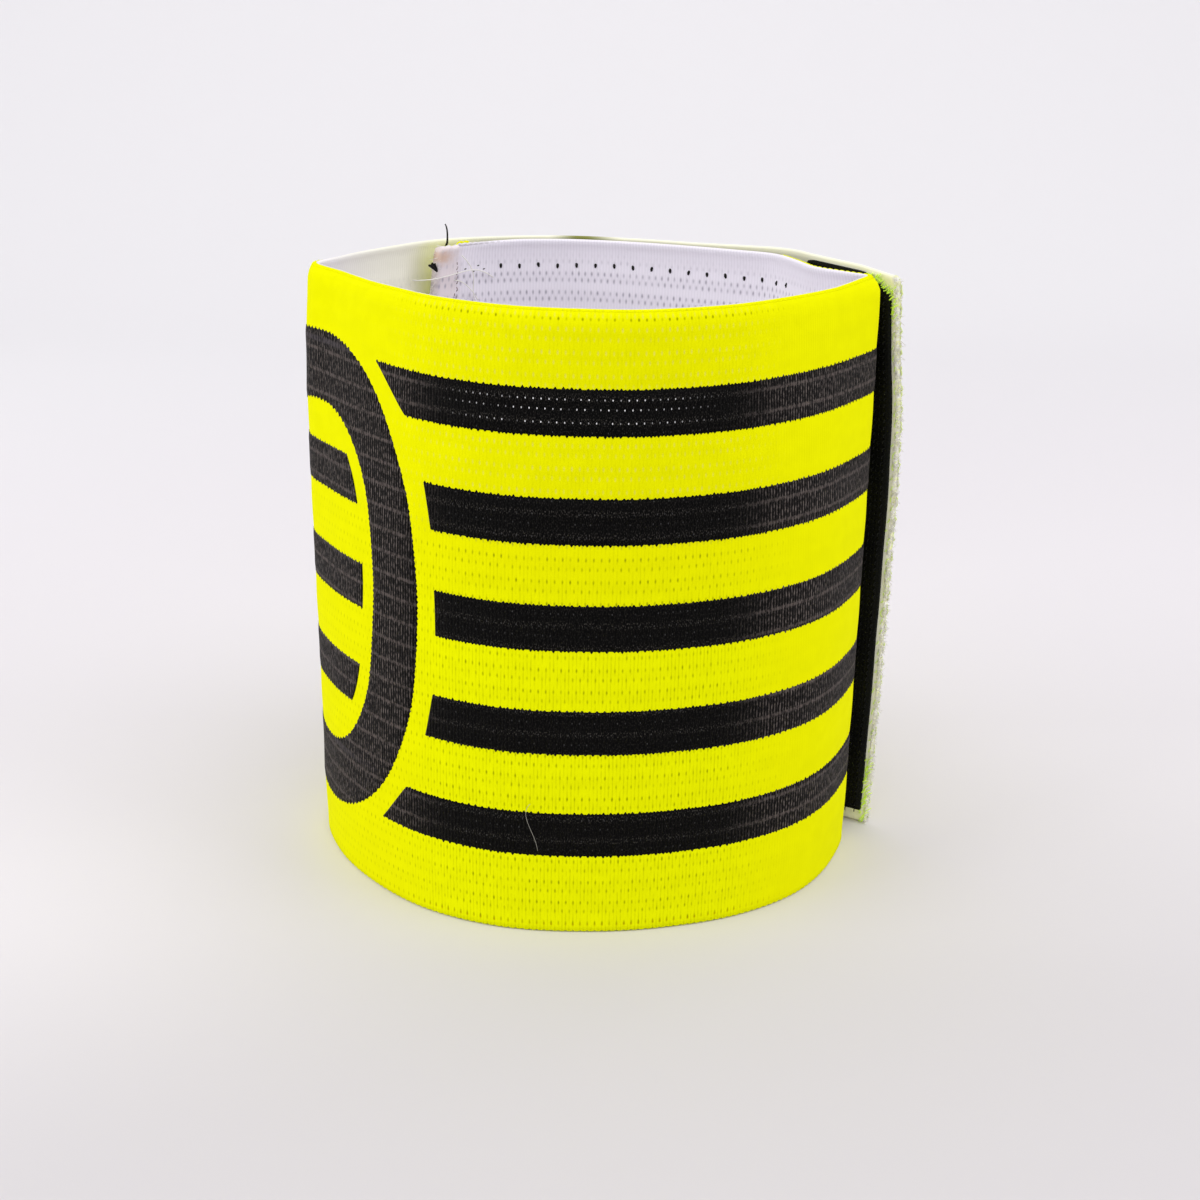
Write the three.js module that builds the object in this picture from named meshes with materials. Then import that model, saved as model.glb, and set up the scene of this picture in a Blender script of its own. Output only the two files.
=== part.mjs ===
// A captain's armband: one broad strip of woven elastic, wrapped into an upright ring that is held by
// hook and loop where its two ends overlap at the back. The front is -Y and +X is to the right of it.
// The strip is followed from its inner end, along the back, round the right fold, the front and the left
// fold, and along the back again on the outside, to the free flap that stands off beside the right fold.
import * as THREE from 'three';

// Driving dimensions, in millimetres and degrees.
const BAND_HEIGHT = 90;
const BAND_THICKNESS = 1.2;
const RING_WIDTH = 83.5;
const RING_DEPTH = 68.6;
const OVERLAP_LENGTH = 64;
const FLAP_LENGTH = 25.5;
const HEM_LENGTH = 4;
const HEM_THICKNESS = 1.1;
const HOOK_LENGTH = 60;
const HOOK_THICKNESS = 1;
const HOOK_END_MARGIN = 0.8;
const LOOP_LENGTH = 60;
const LOOP_THICKNESS = 1;
const LOOP_END_MARGIN = 7;
const STRIP_TOP_MARGIN = 0.8;
const STRIP_BOTTOM_MARGIN = 2.4;
const SEAM_CLEARANCE = 0.3;

// How finely the curves are cut into flat faces.
const STATION_STEP = 2;
const HEIGHT_ROWS = 6;
const OVERLAP_POINTS = 8;
const FLAP_POINTS = 4;
const LENGTH_DIVISIONS = 40;

// The strip's middle line seen from above, a row for each bend, as shares of the ring's half width (across,
// +1 at the right fold) and of its depth (back, 0 at the front). The upper edge is drawn in to a blunt point
// at the front and the lower edge stays rounder.
const INNER_BEND = [
  { at: 'leaves the overlap', upperAcross: 0.765, upperBack: 0.66, lowerAcross: 0.675, lowerBack: 0.65 },
  { at: 'turns outward', upperAcross: 0.815, upperBack: 0.57, lowerAcross: 0.76, lowerBack: 0.563 },
  { at: 'nears the fold', upperAcross: 0.92, upperBack: 0.51, lowerAcross: 0.89, lowerBack: 0.512 },
];
const FRONT_RIGHT = [
  { at: 'right fold', upperAcross: 1.0, upperBack: 0.465, lowerAcross: 1.0, lowerBack: 0.47 },
  { at: 'right side', upperAcross: 0.85, upperBack: 0.322, lowerAcross: 0.94, lowerBack: 0.317 },
  { at: 'right shoulder', upperAcross: 0.658, upperBack: 0.188, lowerAcross: 0.791, lowerBack: 0.17 },
  { at: 'right cheek', upperAcross: 0.44, upperBack: 0.075, lowerAcross: 0.563, lowerBack: 0.066 },
  { at: 'right of the front', upperAcross: 0.178, upperBack: 0.007, lowerAcross: 0.29, lowerBack: 0.008 },
];
const FRONT = { at: 'front', upperAcross: 0.035, upperBack: 0, lowerAcross: 0.03, lowerBack: -0.014 };
const FRONT_LEFT = [
  { at: 'left of the front', upperAcross: -0.247, upperBack: 0.025, lowerAcross: -0.28, lowerBack: -0.002 },
  { at: 'left cheek', upperAcross: -0.493, upperBack: 0.111, lowerAcross: -0.546, lowerBack: 0.064 },
  { at: 'left shoulder', upperAcross: -0.684, upperBack: 0.243, lowerAcross: -0.758, lowerBack: 0.179 },
  { at: 'left side', upperAcross: -0.87, upperBack: 0.403, lowerAcross: -0.921, lowerBack: 0.326 },
  { at: 'left fold', upperAcross: -1.0, upperBack: 0.51, lowerAcross: -1.0, lowerBack: 0.488 },
];
const BACK = [
  { at: 'behind the fold', upperAcross: -0.935, upperBack: 0.607, lowerAcross: -0.936, lowerBack: 0.61 },
  { at: 'left back', upperAcross: -0.789, upperBack: 0.763, lowerAcross: -0.77, lowerBack: 0.77 },
  { at: 'bend at the inner end', upperAcross: -0.62, upperBack: 0.897, lowerAcross: -0.6, lowerBack: 0.89 },
  { at: 'back left', upperAcross: -0.362, upperBack: 0.975, lowerAcross: -0.34, lowerBack: 0.965 },
  { at: 'back', upperAcross: -0.11, upperBack: 1.0, lowerAcross: -0.09, lowerBack: 0.99 },
  { at: 'back right', upperAcross: 0.2, upperBack: 0.965, lowerAcross: 0.2, lowerBack: 0.955 },
  { at: 'right back', upperAcross: 0.5, upperBack: 0.892, lowerAcross: 0.48, lowerBack: 0.875 },
  { at: 'layers part', upperAcross: 0.765, upperBack: 0.8, lowerAcross: 0.718, lowerBack: 0.786 },
];

// Heading of the free flap seen from above: 0 runs to the right, -90 runs to the front.
const FLAP_HEADING = {
  upper: { start: -60, end: -52 },
  lower: { start: -68, end: -26 },
};

const halfWidth = (RING_WIDTH - BAND_THICKNESS) / 2;
const middleDepth = RING_DEPTH - BAND_THICKNESS;
const halfThickness = BAND_THICKNESS / 2;
const hookFace = halfThickness + SEAM_CLEARANCE + HOOK_THICKNESS;
const loopFace = halfThickness + SEAM_CLEARANCE + LOOP_THICKNESS;
const layerStep = hookFace + SEAM_CLEARANCE + loopFace;

/** A row's place on one edge of the strip, as a point in plan. */
function rowPoint(row, edge) {
  return new THREE.Vector3(row[`${edge}Across`] * halfWidth, row[`${edge}Back`] * middleDepth, 0);
}

/** Smooth curve through points, measured finely enough to be divided by length. */
function smoothCurve(points) {
  const curve = new THREE.CatmullRomCurve3(points, false, 'centripetal');
  curve.arcLengthDivisions = (points.length - 1) * LENGTH_DIVISIONS;
  return curve;
}

/** Points of the free flap, stepping on from where the layers part while its heading turns steadily. */
function flapPoints(edge) {
  const { start, end } = FLAP_HEADING[edge];
  const step = FLAP_LENGTH / FLAP_POINTS;
  const place = rowPoint(BACK.at(-1), edge);
  return Array.from({ length: FLAP_POINTS }, (unused, k) => {
    const heading = THREE.MathUtils.degToRad(THREE.MathUtils.lerp(start, end, (k + 0.5) / FLAP_POINTS));
    place.x += step * Math.cos(heading);
    place.y += step * Math.sin(heading);
    return place.clone();
  });
}

/** Points along the overlap, one layer step inside the outer layer, from the inner end onwards. */
function overlapPoints(edge) {
  const outerRows = [...FRONT_LEFT, ...BACK];
  const outer = smoothCurve([...outerRows.map((row) => rowPoint(row, edge)), ...flapPoints(edge)]);
  const parting = outer.getLengths()[(outerRows.length - 1) * LENGTH_DIVISIONS];
  return Array.from({ length: OVERLAP_POINTS }, (unused, k) => {
    const share = (parting - OVERLAP_LENGTH * (1 - k / (OVERLAP_POINTS - 1))) / outer.getLength();
    const along = outer.getTangentAt(share);
    const inward = new THREE.Vector3(along.y, -along.x, 0);
    return outer.getPointAt(share).addScaledVector(inward, layerStep);
  });
}

/** One edge of the strip in plan, with the length at which it passes the front. */
function edgeLine(edge) {
  const before = [...overlapPoints(edge), ...[...INNER_BEND, ...FRONT_RIGHT].map((row) => rowPoint(row, edge))];
  const after = [...FRONT_LEFT, ...BACK].map((row) => rowPoint(row, edge));
  const curve = smoothCurve([...before, rowPoint(FRONT, edge), ...after, ...flapPoints(edge)]);
  return { curve, length: curve.getLength(), front: curve.getLengths()[before.length * LENGTH_DIVISIONS] };
}

const upper = edgeLine('upper');
const lower = edgeLine('lower');
const stripLength = (upper.length + lower.length) / 2;
const frontLength = (upper.front + lower.front) / 2;

/** Place on one edge of the strip at a length along it; both edges pass the front at the same length. */
function edgePoint(edge, along) {
  const { curve, length, front } = edge;
  const measured = along < frontLength
    ? (along / frontLength) * front
    : front + ((along - frontLength) / (stripLength - frontLength)) * (length - front);
  return curve.getPointAt(THREE.MathUtils.clamp(measured / length, 0, 1));
}

/** Middle of the strip's wall at a length along it and a height: the lower plan turns into the upper one
 *  with the square of the height, so that the ring stays round until near its upper edge. */
function wallMiddle(along, height) {
  const share = (height / BAND_HEIGHT) ** 2;
  return edgePoint(lower, along).lerp(edgePoint(upper, along), share).setZ(height);
}

/** Point that lies off the middle of the wall by a distance, counted outward. */
function wallPoint(along, height, offset) {
  const probe = STATION_STEP / 4;
  const ahead = wallMiddle(Math.min(along + probe, stripLength), height);
  const behind = wallMiddle(Math.max(along - probe, 0), height);
  const run = ahead.sub(behind).normalize();
  const outward = new THREE.Vector3(-run.y, run.x, 0);
  return wallMiddle(along, height).addScaledVector(outward, offset);
}

/** Lengths from one end of a layer to the other, in equal steps, with extra ones at its sudden changes. */
function stationLengths(from, to, extras = []) {
  const count = Math.ceil((to - from) / STATION_STEP);
  const even = Array.from({ length: count + 1 }, (unused, k) => THREE.MathUtils.lerp(from, to, k / count));
  const kept = even.filter((along) => extras.every((extra) => Math.abs(along - extra) > halfThickness / 2));
  return [...kept, ...extras].sort((a, b) => a - b);
}

/** Closed wall between two offsets from the strip's middle: a grid of stations along it and rows up it. */
function layerGeometry({ stations, bottom, top, innerOffset, outerOffset }) {
  const columns = HEIGHT_ROWS + 1;
  const positions = [];
  for (const offset of [innerOffset, outerOffset]) {
    for (const along of stations) {
      for (let row = 0; row < columns; row += 1) {
        const height = THREE.MathUtils.lerp(bottom, top, row / HEIGHT_ROWS);
        positions.push(...wallPoint(along, height, offset(along)).toArray());
      }
    }
  }
  const last = stations.length - 1;
  const vertex = (side, station, row) => (side * stations.length + station) * columns + row;
  const triangles = [];
  const quad = (a, b, c, d) => triangles.push(a, b, c, a, c, d);
  for (let station = 0; station < last; station += 1) {
    const next = station + 1;
    for (let row = 0; row < HEIGHT_ROWS; row += 1) {
      const above = row + 1;
      quad(vertex(0, station, row), vertex(0, next, row), vertex(0, next, above), vertex(0, station, above));
      quad(vertex(1, station, row), vertex(1, station, above), vertex(1, next, above), vertex(1, next, row));
    }
    quad(vertex(0, station, 0), vertex(1, station, 0), vertex(1, next, 0), vertex(0, next, 0));
    quad(vertex(0, station, HEIGHT_ROWS), vertex(0, next, HEIGHT_ROWS),
      vertex(1, next, HEIGHT_ROWS), vertex(1, station, HEIGHT_ROWS));
  }
  for (let row = 0; row < HEIGHT_ROWS; row += 1) {
    const above = row + 1;
    quad(vertex(0, 0, row), vertex(0, 0, above), vertex(1, 0, above), vertex(1, 0, row));
    quad(vertex(0, last, row), vertex(1, last, row), vertex(1, last, above), vertex(0, last, above));
  }
  const geometry = new THREE.BufferGeometry();
  geometry.setAttribute('position', new THREE.Float32BufferAttribute(positions, 3));
  geometry.setIndex(triangles);
  geometry.computeVertexNormals();
  return geometry;
}

/** The elastic strip, with its inner end folded back on its inner face as a hem. */
function elasticBand() {
  const hemEdge = HEM_LENGTH + halfThickness;
  const geometry = layerGeometry({
    stations: stationLengths(0, stripLength, [HEM_LENGTH, hemEdge]),
    bottom: 0,
    top: BAND_HEIGHT,
    innerOffset: (along) => -halfThickness - (along < hemEdge ? HEM_THICKNESS : 0),
    outerOffset: () => halfThickness,
  });
  const material = new THREE.MeshStandardMaterial({ color: 0xe6e700, roughness: 0.85, metalness: 0 });
  const mesh = new THREE.Mesh(geometry, material);
  mesh.name = 'elastic_band';
  return mesh;
}

/** A fastening strip sewn over one face of the band, between two lengths and two distances from its middle. */
function fasteningStrip({ name, from, to, near, far, roughness }) {
  const geometry = layerGeometry({
    stations: stationLengths(from, to),
    bottom: STRIP_BOTTOM_MARGIN,
    top: BAND_HEIGHT - STRIP_TOP_MARGIN,
    innerOffset: () => Math.min(near, far),
    outerOffset: () => Math.max(near, far),
  });
  const material = new THREE.MeshStandardMaterial({ color: 0x14130f, roughness, metalness: 0 });
  const mesh = new THREE.Mesh(geometry, material);
  mesh.name = name;
  return mesh;
}

const seamFace = halfThickness + SEAM_CLEARANCE;
const hookEnd = stripLength - HOOK_END_MARGIN;
const pieces = [
  elasticBand(),
  fasteningStrip({
    name: 'loop_strip', from: LOOP_END_MARGIN, to: LOOP_END_MARGIN + LOOP_LENGTH,
    near: seamFace, far: loopFace, roughness: 0.95,
  }),
  fasteningStrip({
    name: 'hook_strip', from: hookEnd - HOOK_LENGTH, to: hookEnd,
    near: -seamFace, far: -hookFace, roughness: 0.7,
  }),
];

const group = new THREE.Group();
group.add(...pieces);

// The origin is the middle of the standing armband's outline, on the surface that it stands on.
const middle = new THREE.Box3().setFromObject(group, true).getCenter(new THREE.Vector3());
group.position.set(-middle.x, -middle.y, 0);

export default group;
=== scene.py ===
# %% [markdown]
# # A captain's armband of striped elastic
# The object is one broad strip of knitted elastic, about 31 cm long and 9 cm high, closed into an upright
# ring by hook and loop. Its outside is fluorescent yellow with five black stripes and a black oval ring, and
# its inside is white. The solids of the frame fix its size and its folds. This lesson dresses them: it reads
# the strip's wall off the frame, lays every piece of cloth and thread on that wall, and lights it softly.

# %% Load the frame
import math

import bpy
import numpy as np
from mathutils import Matrix, Vector


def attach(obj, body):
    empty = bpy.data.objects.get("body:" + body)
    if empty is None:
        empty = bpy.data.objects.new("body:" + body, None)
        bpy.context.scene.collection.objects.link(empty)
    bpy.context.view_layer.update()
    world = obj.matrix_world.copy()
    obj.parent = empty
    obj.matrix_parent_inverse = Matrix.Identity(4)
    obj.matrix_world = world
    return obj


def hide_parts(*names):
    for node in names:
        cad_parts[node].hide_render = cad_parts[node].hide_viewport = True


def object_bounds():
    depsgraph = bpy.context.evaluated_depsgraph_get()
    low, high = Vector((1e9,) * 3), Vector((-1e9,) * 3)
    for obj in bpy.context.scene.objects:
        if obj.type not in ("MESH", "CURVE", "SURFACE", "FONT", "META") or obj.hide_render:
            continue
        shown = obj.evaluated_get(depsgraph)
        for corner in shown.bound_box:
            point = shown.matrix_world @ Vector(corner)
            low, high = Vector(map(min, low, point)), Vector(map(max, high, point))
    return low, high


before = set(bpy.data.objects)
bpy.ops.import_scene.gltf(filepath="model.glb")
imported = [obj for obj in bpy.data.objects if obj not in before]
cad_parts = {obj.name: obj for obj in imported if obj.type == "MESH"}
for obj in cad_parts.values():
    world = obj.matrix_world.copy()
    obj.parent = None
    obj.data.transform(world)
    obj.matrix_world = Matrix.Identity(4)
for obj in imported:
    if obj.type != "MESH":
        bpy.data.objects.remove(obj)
cad_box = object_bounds()
MM = 0.001
print("frame, mm:", [[round(x / MM, 1) for x in corner] for corner in cad_box])

# %% [markdown]
# ## Camera
# The photograph looks down on the ring from the front. The upright edges of the ring lean together a little
# towards the bottom of the picture, and that lean gives the camera's pitch and its distance.

# %% Camera
PITCH_DOWN = math.radians(20)
ROLL = math.radians(1.067)
LENS_MM = 50.15
CAMERA_PLACE = (-0.55, -245.39, 127.8)

camera = bpy.data.objects.new("camera", bpy.data.cameras.new("camera"))
bpy.context.scene.collection.objects.link(camera)
camera.data.lens = LENS_MM
camera.data.sensor_width = 36
camera.data.clip_start = 0.01
camera.matrix_world = (Matrix.Translation([x * MM for x in CAMERA_PLACE])
                       @ Matrix.Rotation(math.pi / 2 - PITCH_DOWN, 4, "X") @ Matrix.Rotation(ROLL, 4, "Z"))
bpy.context.scene.camera = camera
print("camera, mm:", CAMERA_PLACE, "lens:", LENS_MM)

# %% [markdown]
# ## Tools for materials
# A colour is given as an sRGB hex value, but a shader adds light in linear values, so one function
# turns the first into the second. Another adds a node with its options and its inputs, so that a pattern
# reads as a list of steps.

# %% Colour and node helpers
def linear(hex_colour):
    """sRGB hex to linear RGBA: a channel under 0.04045 is divided by 12.92, and a brighter one has 0.055
    added, is divided by 1.055 and is raised to the power 2.4."""
    srgb = np.array([int(hex_colour[i:i + 2], 16) for i in (1, 3, 5)]) / 255
    return (*np.where(srgb <= 0.04045, srgb / 12.92, ((srgb + 0.055) / 1.055) ** 2.4), 1.0)


def add(tree, kind, inputs=None, **options):
    """Adds a node: options are its own settings, and inputs maps a socket to a value or to an output."""
    made = tree.nodes.new("ShaderNode" + kind)
    for name, value in options.items():
        setattr(made, name, value)
    for socket, value in (inputs or {}).items():
        if isinstance(value, bpy.types.NodeSocket):
            tree.links.new(value, made.inputs[socket])
        else:
            made.inputs[socket].default_value = value
    return made


def new_material(name, **shader):
    """A material with one Principled shader, whose constant inputs are given by socket name with _ for a
    space. Returns the material, its node tree and the shader."""
    material = bpy.data.materials.new(name)
    material.use_nodes = True
    tree = material.node_tree
    principled = tree.nodes["Principled BSDF"]
    for socket, value in shader.items():
        principled.inputs[socket.replace("_", " ")].default_value = value
    return material, tree, principled


# %% [markdown]
# ## Tools for meshes
# Every piece is a surface worked out on a grid, or a thin round thread carried along a path. Both are whole
# arrays: a grid's faces follow from its counts, and many threads of the same number of points are one array.

# %% Mesh helpers
def grid_faces(columns, rows, first=0):
    """Four-sided faces of a grid whose points run up each column: the face at (i, j) takes the points
    (i, j), (i, j + 1), (i + 1, j + 1), (i + 1, j), so its front is to the left of the columns' run."""
    i, j = np.meshgrid(np.arange(columns - 1), np.arange(rows - 1), indexing="ij")
    corner = first + (i * rows + j).ravel()
    return np.stack([corner, corner + 1, corner + rows + 1, corner + rows], axis=1)


def make_piece(name, points, faces, materials, strip_mm=None, face_material=None, smooth=True):
    """Puts points in mm and faces into a mesh object that rides on the frame. strip_mm gives each point's
    length along the strip and height, which become the UV map that the knitted patterns read."""
    mesh = bpy.data.meshes.new(name)
    mesh.from_pydata((np.asarray(points).reshape(-1, 3) * MM).tolist(), [], [list(f) for f in faces])
    for material in materials:
        mesh.materials.append(material)
    if face_material is not None:
        mesh.polygons.foreach_set("material_index", np.asarray(face_material, np.int32))
    if smooth:
        mesh.polygons.foreach_set("use_smooth", np.ones(len(mesh.polygons), bool))
    if strip_mm is not None:
        corner = np.zeros(len(mesh.loops), np.int32)
        mesh.loops.foreach_get("vertex_index", corner)
        layer = mesh.uv_layers.new(name="strip_mm")
        layer.data.foreach_set("uv", np.asarray(strip_mm, np.float32).reshape(-1, 2)[corner].ravel())
    mesh.update()
    piece = bpy.data.objects.new(name, mesh)
    bpy.context.scene.collection.objects.link(piece)
    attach(piece, "root")
    print(f"{name}: {len(mesh.vertices)} points, {sum(len(p.vertices) - 2 for p in mesh.polygons)} triangles")
    return piece


def threads(paths, radius, sides=6):
    """Round threads along many paths at once, paths having the shape (threads, points, 3). At each point a
    ring of sides lies square to the path: its two axes are the path's direction crossed with a fixed slant,
    and crossed again with the result. radius is one number or one for each point."""
    paths = np.asarray(paths, float)
    count, length = paths.shape[:2]
    run = np.gradient(paths, axis=1)
    run /= np.linalg.norm(run, axis=2, keepdims=True) + 1e-12
    first = np.cross(run, (0.267, 0.535, 0.802))
    first /= np.linalg.norm(first, axis=2, keepdims=True) + 1e-12
    second = np.cross(run, first)
    angle = np.arange(sides) * 2 * np.pi / sides
    across = first[:, :, None] * np.cos(angle)[:, None] + second[:, :, None] * np.sin(angle)[:, None]
    wide = np.broadcast_to(np.asarray(radius, float), (count, length))[:, :, None, None]
    points = (paths[:, :, None] + wide * across).reshape(-1, 3)
    t, p, s = np.meshgrid(np.arange(count), np.arange(length - 1), np.arange(sides), indexing="ij")
    here = (t * length + p) * sides
    walls = np.stack([here + s, here + sides + s, here + sides + (s + 1) % sides, here + (s + 1) % sides], -1)
    start = np.arange(count)[:, None] * length * sides
    ring = np.arange(sides)[None, :]
    ends = np.concatenate([start + ring, start + (length - 1) * sides + ring[:, ::-1]])
    return points, walls.reshape(-1, 4).tolist() + ends.tolist()


def joined(parts):
    """Several (points, faces) pairs as one pair, with the number of each part's faces."""
    shift, all_faces = 0, []
    for points, faces in parts:
        all_faces += [[index + shift for index in face] for face in faces]
        shift += len(points)
    return np.concatenate([points for points, _ in parts]), all_faces, [len(faces) for _, faces in parts]


# %% [markdown]
# ## Reading the strip's wall off the frame
# The strip could be drawn again from a list of points, but then it would drift from the frame whenever a
# size changed. It is read instead: the corners of the elastic's flat lower edge and of its flat upper edge
# are put in order round the strip, and half of each loop is the outer face in plan.

# %% Put the corners of a flat edge in order
def edge_loop(node, level):
    """The corners of a node at one height, in mm, in order round its outline. Each rim edge of the flat faces
    there leads from one corner to the next. How many steps each corner is from the last one comes from
    doubling: in each pass every corner's step count takes in that of the corner it points to."""
    mesh = node.data
    mesh.calc_loop_triangles()
    corners = np.zeros(len(mesh.vertices) * 3, np.float32)
    triangles = np.zeros(len(mesh.loop_triangles) * 3, np.int32)
    mesh.vertices.foreach_get("co", corners)
    mesh.loop_triangles.foreach_get("vertices", triangles)
    places, merged = np.unique(np.round(corners.reshape(-1, 3) / MM, 3), axis=0, return_inverse=True)
    faces = merged.ravel()[triangles].reshape(-1, 3)
    flat = faces[(np.abs(places[faces][:, :, 2] - level) < 0.01).all(axis=1)]
    start, end = flat.ravel(), np.roll(flat, -1, axis=1).ravel()
    rim = ~np.isin(start * len(places) + end, end * len(places) + start)
    start, end = (start[rim], end[rim]) if level < 1 else (end[rim], start[rim])
    follow = np.arange(len(places))
    follow[start] = end
    used = np.unique(start)
    flap_corner = used[np.argmax(places[used, 0])]
    follow[start[end == flap_corner]] = start[end == flap_corner]
    steps = (follow != np.arange(len(places))).astype(int)
    for _ in range(math.ceil(math.log2(len(used))) + 1):
        steps, follow = steps + steps[follow], follow[follow]
    return places[used[np.argsort(-steps[used])]]


band_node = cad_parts["elastic_band"]
BAND_HEIGHT = cad_box[1].z / MM
BAND_THICKNESS = 1.2
HALF = BAND_THICKNESS / 2


def outer_face(level):
    """Plan of the strip's outer face at a height, from the inner end to the flap's end: the loop starts at
    the flap's outer corner and comes back along the inner face first."""
    loop = edge_loop(band_node, level)[:, :2]
    return np.concatenate([loop[len(loop) // 2 + 1:], loop[:1]])


lower_face, upper_face = outer_face(0.0), outer_face(BAND_HEIGHT)


def along(line):
    """Length along a line of points, from its start."""
    return np.concatenate([[0], np.cumsum(np.linalg.norm(np.diff(line, axis=0), axis=1))])


def middle_line(face):
    """The wall's middle, half a thickness in from the outer face. Outward is to the left of the run."""
    run = np.gradient(face, along(face), axis=0)
    outward = np.stack([-run[:, 1], run[:, 0]], axis=1)
    return face - HALF * outward / np.linalg.norm(outward, axis=1, keepdims=True)


lower_line, upper_line = middle_line(lower_face), middle_line(upper_face)
stations = (along(lower_line) + along(upper_line)) / 2
STRIP_LENGTH = stations[-1]
print("stations:", len(stations), "strip length, mm:", round(STRIP_LENGTH, 1))

# %% [markdown]
# ## The strip as a surface of two parameters
# Everything sewn to the strip is placed by a length along it and a height, as a tailor would measure on the
# flat cloth, with a third number for how far it lies off the wall. Knitted elastic is never quite flat: the
# yellow bands swell a little between the stripes, and the upper edge curls inwards.

# %% Wall function
STRIPE_PITCH = 15.2
BAND_MIDDLE = 46.75
CURL_HEIGHT = 2.2
CURL = 0.7
FOLD_CURL = 0.7
right_fold = stations[np.argmax(np.where(stations < STRIP_LENGTH / 2, upper_line[:, 0], -1e9))]
left_fold = stations[np.argmin(upper_line[:, 0])]
# How far the left fold bulges at a height, how far the flap's end does, and how far the upper edge has sunk
# at a length: pairs of a place and an amount, in mm.
LEFT_BULGE = np.array([(0, 0), (25, 0.05), (50, 0.28), (62, 0.45), (80, 0.42), (85, 0.05), (90, -0.1)])
FLAP_BOW = np.array([(0, -0.2), (9, 0.1), (18, 0.6), (37, 0.95), (50, 1.2), (58, 1.15), (66, 0.8), (72, 0.2),
                     (78, -0.6), (84, -1.3), (90, -1.5)])
FLAP_REACH = 25.0
END_SLANT, END_SLANT_DEPTH, END_SLANT_REACH = 0.11, 14.0, 8.0
RIM_SUNK = np.array([(0, 0), (88, 0), (95, 0.34), (120, 0.27), (155, 0.22), (168, 0.33), (178, 0.5),
                     (184, 0.45), (192, 0.2), (205, 0), (270, 0), (284, -0.38), (305, -0.45), (312, 0)])


def through(points, length):
    """Smooth curve through the stations: between two of them a cubic leaves and arrives with the slopes
    that the neighbouring points give. Past the strip's ends the curve runs straight on."""
    slope = np.gradient(points, stations, axis=0)
    inside = np.clip(length, 0, STRIP_LENGTH)
    k = np.clip(np.searchsorted(stations, inside, side="right") - 1, 0, len(stations) - 2)
    wide = (stations[k + 1] - stations[k])[..., None]
    t = (inside - stations[k])[..., None] / wide
    past = (length - inside)[..., None] * np.where((length > 0)[..., None], slope[-1], slope[0])
    return (points[k] * (1 + 2 * t) * (1 - t) ** 2 + slope[k] * wide * t * (1 - t) ** 2
            + points[k + 1] * t ** 2 * (3 - 2 * t) - slope[k + 1] * wide * t ** 2 * (1 - t) + past)


def middle(length, height):
    """Middle of the wall in plan: the lower line turns into the upper one with the square of the height."""
    share = (height / BAND_HEIGHT)[..., None] ** 2
    return through(lower_line, length) * (1 - share) + through(upper_line, length) * share


def swell(length, height):
    """How far the cloth stands off its plain wall: a cosine up the stripes, two slow waves along the strip,
    and a curl inwards that grows with the square of the height above the curl's start and is strongest at
    the right fold. The left fold bulges, and so does the flap, where the bow grows with the square of the
    distance from the place where it comes free."""
    stripes = -0.07 * np.cos(2 * np.pi * (height - BAND_MIDDLE) / STRIPE_PITCH)
    waves = 0.08 * np.sin(length / 17 + height / 23) + 0.05 * np.sin(length / 7.3 - height / 31 + 2)
    curl = CURL + FOLD_CURL * np.exp(-((length - right_fold) / 6) ** 2)
    curl = curl * np.clip((height - BAND_HEIGHT + CURL_HEIGHT) / CURL_HEIGHT, 0, 1) ** 2
    bulge = np.interp(height, *LEFT_BULGE.T) * np.exp(-((length - left_fold) / 22) ** 2)
    free = np.clip((length - STRIP_LENGTH + FLAP_REACH) / FLAP_REACH, 0, None) ** 2
    return stripes + waves - curl + bulge + free * np.interp(height, *FLAP_BOW.T)


def sunk(length, height):
    """How far a point has sunk with the upper edge: the edge's own amount times the tenth power of the
    share of the height, so that only the top few centimetres move."""
    return np.interp(length, *RIM_SUNK.T) * (height / BAND_HEIGHT) ** 10


def slanted(length, height):
    """How far a point near the inner end lies towards it: the end is cut a little askew, so this grows with
    the depth below the upper edge."""
    depth = np.clip(BAND_HEIGHT - height, 0, END_SLANT_DEPTH)
    return END_SLANT * depth * np.clip(1 - length / END_SLANT_REACH, 0, 1)


def wall(length, height, off):
    """Points of the strip in mm, at a length, a height and a distance off the middle of the wall, outwards
    being positive. Outward is square to the run between two points a short probe ahead and behind."""
    length, height, off = np.broadcast_arrays(*(np.asarray(x, float) for x in (length, height, off)))
    length = length - slanted(length, height)
    probe = 0.3
    run = middle(length + probe, height) - middle(length - probe, height)
    outward = np.stack([-run[..., 1], run[..., 0]], axis=-1)
    outward /= np.linalg.norm(outward, axis=-1, keepdims=True)
    plan = middle(length, height) + outward * (off + swell(length, height))[..., None]
    level = height - sunk(length, height)
    return np.concatenate([plan, level[..., None]], axis=-1)


print("front of the ring at length, mm:", round(stations[np.argmin(upper_line[:, 1])], 1))

# %% [markdown]
# ## The knit
# Narrow elastic of this kind is warp-knitted: fine upright ribs of yarn, with rows where the yarns cross and
# leave a small gap, every second row set over by half a gap. At the front the strip is stretched, so the
# gaps show there. The same lattice is used for all three colours, so the patterns line up through the cloth.

# %% Knit pattern
RIB_PITCH = 0.515
GAP_PITCH = 2 * RIB_PITCH
ROW_PITCH = 3.176
ROW_STEP = 1.35
FIRST_ROW = 2.6
KNIT_SPREAD = 0.0079
FRONT_FROM, FRONT_TO = 104.0, 172.0
FRONT_FADE = 18.0


def knit_height(height):
    """Height counted in evenly knitted rows. The rows lie a little closer together towards the upper edge:
    to the plain height, the count adds the square of the distance from the middle stripe, in stripe
    pitches, times the spread."""
    rise = (height - BAND_MIDDLE) / STRIPE_PITCH
    return BAND_MIDDLE + STRIPE_PITCH * (rise + KNIT_SPREAD * rise ** 2)


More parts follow.
